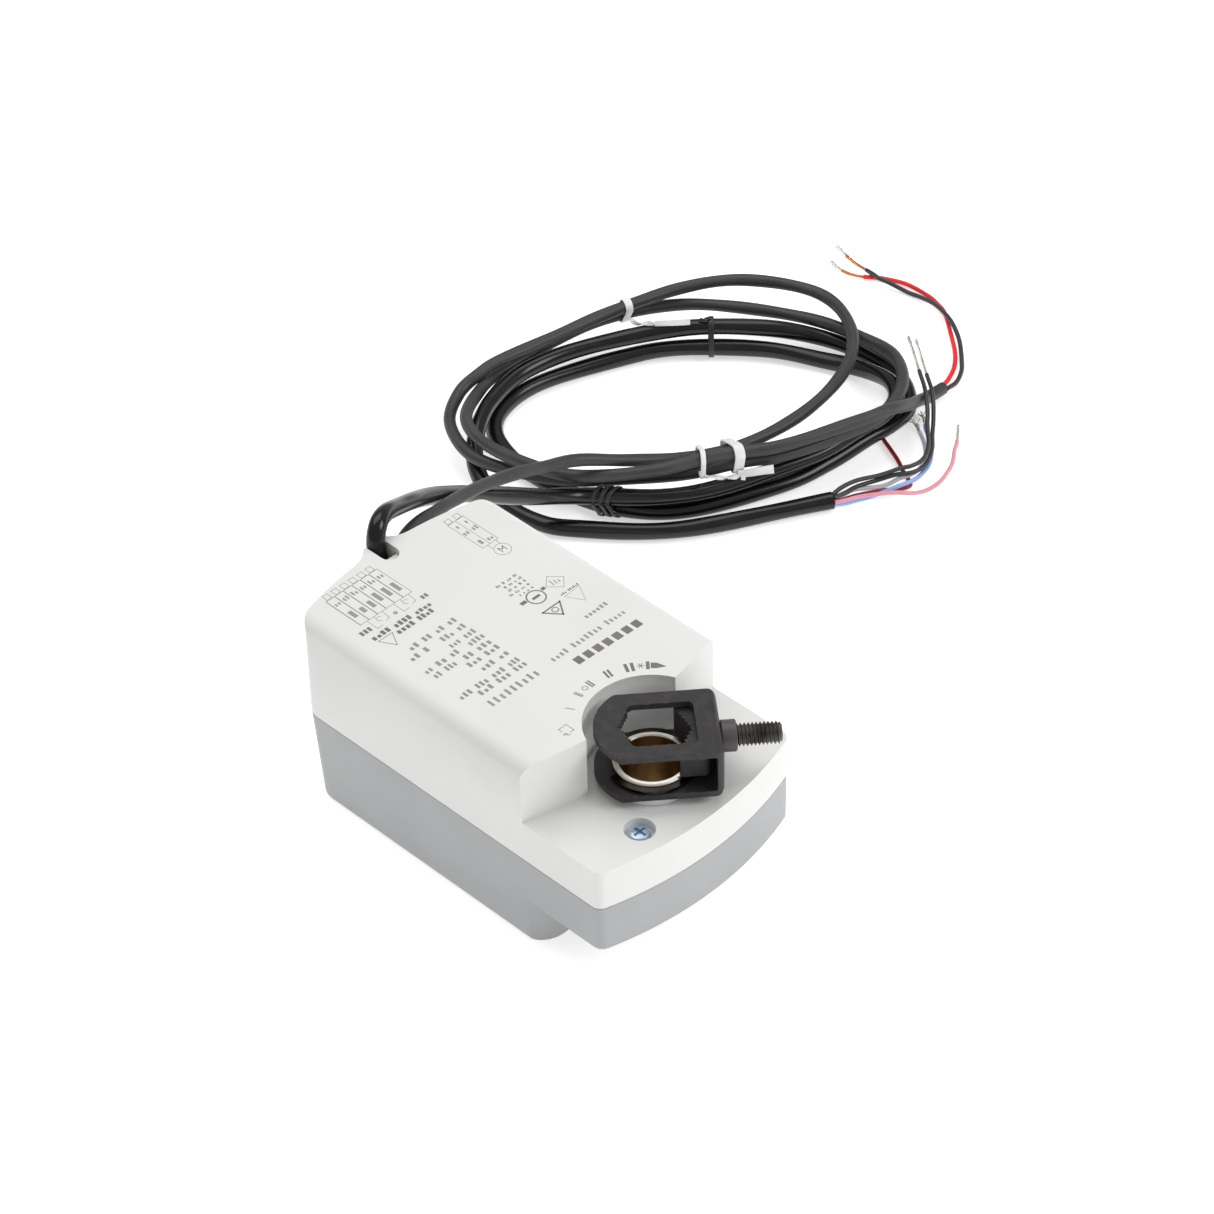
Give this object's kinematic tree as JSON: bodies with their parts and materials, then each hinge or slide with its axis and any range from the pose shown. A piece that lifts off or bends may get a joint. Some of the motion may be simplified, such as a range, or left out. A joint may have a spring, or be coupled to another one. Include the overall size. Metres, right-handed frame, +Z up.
{
  "type": "damper actuator head",
  "caption": "Motorised actuator head with a screw clamp for a damper shaft, two end switches and two tied-up cords.",
  "frame": {"origin": "centre of the housing footprint, on the surface it lies on", "axes": "+Z up along the output hub, +Y towards the cable end, the clamp is at -Y"},
  "size_m": [0.2764, 0.2037, 0.0668],
  "materials": {
    "cover_plastic": "fine matte, off-white",
    "base_plastic": "fine matte, mid grey",
    "bush_plastic": "smooth white",
    "zinc_screw": "blue-white zinc plate",
    "zinc_steel": "zinc-plated sheet",
    "board": "green circuit board",
    "capacitor_sleeve": "printed sleeve",
    "black_plastic": "black",
    "spring_steel": "bright spring steel",
    "gear_plastic": "natural acetal",
    "brass_gear": "cut",
    "hub_steel": "yellow zinc plate",
    "gear_steel": "sintered",
    "bracket_black": "black, slightly glossy",
    "jaw_zinc": "plated, dull",
    "grommet_rubber": "matte",
    "cord_rubber": "matte black jacket",
    "cord_pvc": "smooth black jacket",
    "wire_pink": "insulation",
    "wire_blue": "insulation",
    "wire_dark_red": "insulation",
    "wire_white": "insulation",
    "wire_black": "insulation",
    "wire_red": "insulation",
    "tie_white": "flat coated twist tie",
    "tie_black": "flat coated twist tie"
  },
  "bodies": {
    "housing": {"cover": "cover_plastic", "base": "base_plastic", "upper_bush": "bush_plastic", "lower_bush": "bush_plastic", "cover_screw": "zinc_screw", "base_screw_left": "zinc_screw", "base_screw_right": "zinc_screw", "gear_plate_lower": "zinc_steel", "gear_plate_upper": "zinc_steel", "plate_pillar_1": "zinc_steel", "plate_pillar_2": "zinc_steel", "plate_pillar_3": "zinc_steel", "motor_body": "zinc_steel", "circuit_board": "board", "capacitor": "capacitor_sleeve", "switch_body_5": "black_plastic", "switch_body_85": "black_plastic", "spring_barrel": "zinc_steel", "mainspring": "spring_steel", "switch_cord_grommet": "grommet_rubber", "power_cord_grommet": "grommet_rubber", "power_cord": "cord_rubber", "switch_cord": "cord_pvc", "switch_wire_pink": "wire_pink", "switch_wire_blue": "wire_blue", "switch_wire_dark_red": "wire_dark_red", "switch_wire_white": "wire_white", "switch_wire_black_1": "wire_black", "switch_wire_black_2": "wire_black", "power_wire_red": "wire_red", "power_wire_black": "wire_black", "tie_white_front": "tie_white", "tie_white_top": "tie_white", "tie_black_front": "tie_black", "tie_black_top": "tie_black"},
    "output": {"output_hub": "hub_steel", "output_gear": "gear_steel", "switch_cam_5": "gear_plastic", "switch_cam_85": "gear_plastic", "retaining_ring": "spring_steel", "clamp_bracket": "bracket_black", "clamp_nut": "bracket_black"},
    "jaw": {"clamp_jaw": "jaw_zinc"},
    "screw": {"clamp_screw": "zinc_screw"},
    "first_gear": {"idler_1": "gear_plastic", "spring_arbor": "zinc_steel"},
    "second_gear": {"idler_2": "gear_plastic"},
    "rotor": {"motor_pinion": "brass_gear"},
    "lever_5": {"switch_lever_5": "zinc_steel"},
    "lever_85": {"switch_lever_85": "zinc_steel"}
  },
  "joints": [
    {"name": "output_turn", "type": "hinge", "parent": "housing", "child": "output", "pos_m": [0, -0.039, 0], "axis": [0, 0, 1], "range_deg": [-95, 0]},
    {"name": "first_gear_turn", "type": "hinge", "parent": "housing", "child": "first_gear", "pos_m": [0, -0.005, 0], "axis": [0, 0, 1], "range_deg": [0, 444]},
    {"name": "second_gear_turn", "type": "hinge", "parent": "housing", "child": "second_gear", "pos_m": [0.01485, 0.00985, 0], "axis": [0, 0, 1], "range_deg": [-1109, 0]},
    {"name": "rotor_turn", "type": "hinge", "parent": "housing", "child": "rotor", "pos_m": [0.00685, 0.0237, 0], "axis": [0, 0, 1], "range_deg": [0, 3326]},
    {"name": "jaw_slide", "type": "slide", "parent": "output", "child": "jaw", "axis": [-0.7604, 0.6494, 0], "range_m": [-0.0008, 0.009]},
    {"name": "screw_turn", "type": "hinge", "parent": "jaw", "child": "screw", "pos_m": [0, -0.039, 0.0533], "axis": [-0.7604, 0.6494, 0], "range_deg": [-288, 3240]},
    {"name": "lever_5_tilt", "type": "hinge", "parent": "housing", "child": "lever_5", "pos_m": [-0.024, -0.035, 0.0284], "axis": [0, 0, -1], "range_deg": [0, 6], "stiffness_Nm_per_rad": 0.02, "springref_deg": -2.86},
    {"name": "lever_85_tilt", "type": "hinge", "parent": "housing", "child": "lever_85", "pos_m": [0.024, -0.035, 0.0318], "axis": [0, 0, 1], "range_deg": [0, 6], "stiffness_Nm_per_rad": 0.02, "springref_deg": -2.86}
  ],
  "couplings": [
    {"joint": "first_gear_turn", "follows": "output_turn", "ratio": -4.6667},
    {"joint": "second_gear_turn", "follows": "output_turn", "ratio": 11.667},
    {"joint": "rotor_turn", "follows": "output_turn", "ratio": -35},
    {"joint": "screw_turn", "follows": "jaw_slide", "rad_per_m": 6283.2}
  ]
}
